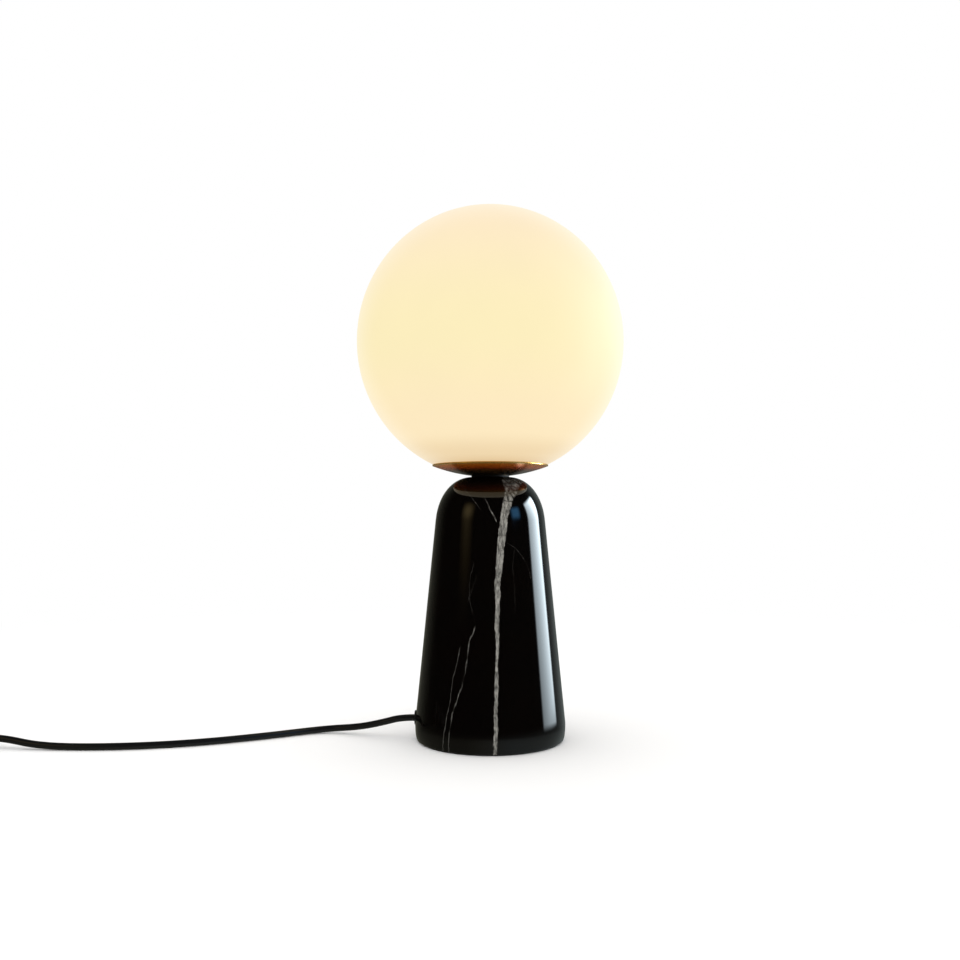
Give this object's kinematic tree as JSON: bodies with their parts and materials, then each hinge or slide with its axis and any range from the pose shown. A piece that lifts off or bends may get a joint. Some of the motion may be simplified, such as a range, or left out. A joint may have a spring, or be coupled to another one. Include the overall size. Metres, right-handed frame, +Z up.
{
  "type": "globe table lamp",
  "caption": "Table lamp with a lit opal glass globe seated in a shallow brass dish on a tapered, round-shouldered black marble foot, with corded rocker switch and plug.",
  "frame": {"origin": "centre of the foot's underside, on the table", "axes": "+Z up along the lamp's axis, -Y towards the viewer, the cord leaves along -X"},
  "size_m": [0.5855, 0.2508, 0.4001],
  "materials": {
    "opal_glass": "mouth-blown opal glass, glossy, lit from inside",
    "satin_brass": "spun brass, finely brushed and lacquered",
    "black_marble": "polished black marble with pale grey veins",
    "felt": "pressed wool felt",
    "zinc_steel": "zinc plated",
    "spring_steel": "blued strip",
    "black_rubber": "matte moulded",
    "clear_silicone": "moulded silicone",
    "holder_plastic": "moulded phenolic",
    "porcelain": "unglazed pressed",
    "plain_brass": "pressed strip",
    "brown_insulation": "extruded PVC",
    "blue_insulation": "extruded PVC",
    "bulb_opal": "frosted polycarbonate, lit",
    "bulb_white": "moulded over an aluminium sink",
    "nickel_plate": "nickel plated",
    "black_glass": "glassy",
    "black_plastic": "moulded nylon",
    "black_pvc": "extruded flexible PVC",
    "switch_plastic": "moulded, fine texture",
    "plug_pvc": "overmoulded PVC",
    "black_tie": "woven hook and loop strip"
  },
  "bodies": {
    "base": {"base_felt_pad": "felt", "bottom_lock_washer": "zinc_steel", "bottom_nut": "zinc_steel", "bottom_washer": "zinc_steel", "brass_dish": "satin_brass", "centre_contact": "plain_brass", "cord_coil": "black_pvc", "cord_collar": "black_plastic", "cord_grommet": "black_plastic", "cord_tie": "black_tie", "dish_nut": "zinc_steel", "globe_gasket": "clear_silicone", "globe_springs": "spring_steel", "inner_cord": "black_pvc", "lampholder_body": "holder_plastic", "lampholder_cap": "holder_plastic", "lead_cord": "black_pvc", "live_wire": "brown_insulation", "marble_base": "black_marble", "neck_spacer": "black_rubber", "neutral_wire": "blue_insulation", "plug_body": "plug_pvc", "plug_boot": "plug_pvc", "plug_cord": "black_pvc", "plug_pin_sleeves": "black_plastic", "plug_pins": "nickel_plate", "switch_blade": "plain_brass", "switch_cord": "black_pvc", "switch_lower_case": "switch_plastic", "switch_pivot_pin": "zinc_steel", "switch_screws": "zinc_steel", "switch_terminals": "plain_brass", "switch_upper_case": "switch_plastic", "switch_wires": "brown_insulation", "terminal_block": "porcelain", "terminal_screws": "plain_brass", "thread_shell": "plain_brass", "threaded_tube": "zinc_steel"},
    "globe": {"glass_globe": "opal_glass"},
    "bulb": {"bulb_diffuser": "bulb_opal", "bulb_housing": "bulb_white", "bulb_cap": "nickel_plate", "bulb_insulator": "black_glass", "bulb_tip_contact": "nickel_plate"},
    "rocker": {"switch_rocker": "switch_plastic"}
  },
  "joints": [
    {"name": "globe_lift", "type": "slide", "parent": "base", "child": "globe", "axis": [0, 0, 1], "range_m": [0, 0.115]},
    {"name": "bulb_turn", "type": "hinge", "parent": "base", "child": "bulb", "pos_m": [0, 0, 0.25], "axis": [0, 0, 1], "continuous": true},
    {"name": "switch_rocker_tilt", "type": "hinge", "parent": "base", "child": "rocker", "pos_m": [-0.412, -0.03, 0.0116], "axis": [0, 1, 0], "range_deg": [0, 14]}
  ]
}
